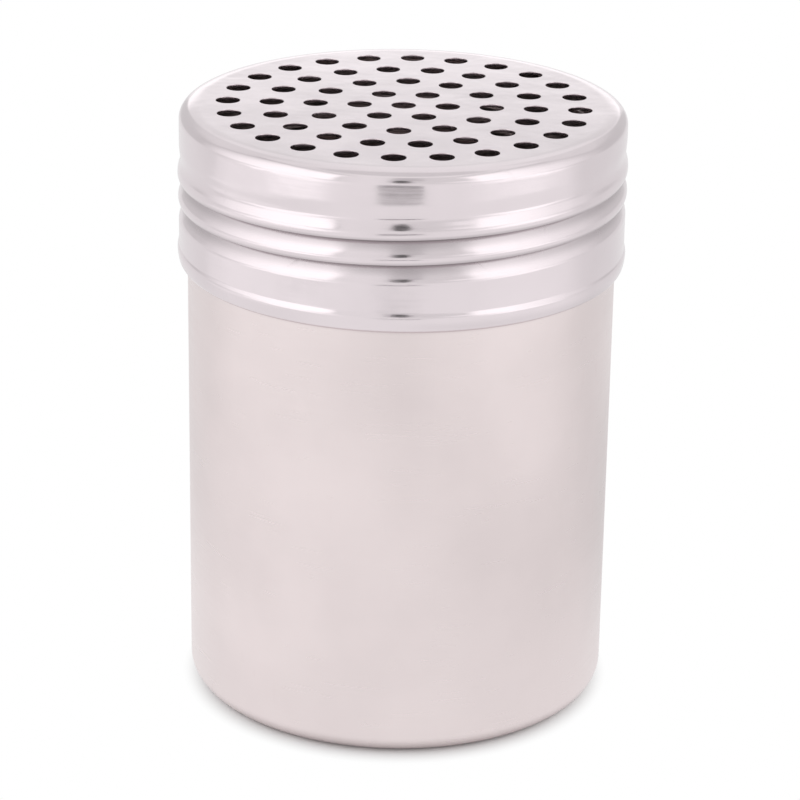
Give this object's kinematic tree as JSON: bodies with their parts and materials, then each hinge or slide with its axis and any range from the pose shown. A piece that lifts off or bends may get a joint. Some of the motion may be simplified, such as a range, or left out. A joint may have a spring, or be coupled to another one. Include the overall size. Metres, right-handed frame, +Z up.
{
  "type": "spice shaker",
  "caption": "Round stainless steel spice shaker: a straight drawn canister with a screw lid whose flat top is full of sprinkling holes.",
  "frame": {"origin": "centre of the base, on the surface that the shaker stands on", "axes": "+Z up along the shaker's axis, from the base to the lid's perforated top; +X towards one hole of each ring of holes"},
  "size_m": [0.07, 0.07, 0.095],
  "materials": {
    "satin_steel": "satin, faint vertical reflections",
    "polished_steel": "polished on the rolled wall, satin on the flat top"
  },
  "bodies": {
    "canister": {"canister": "satin_steel"},
    "lid": {"lid": "polished_steel"}
  },
  "joints": [
    {"name": "lid_lift", "type": "slide", "parent": "canister", "child": "lid", "axis": [0, 0, 1], "range_m": [0, 0.04]}
  ]
}
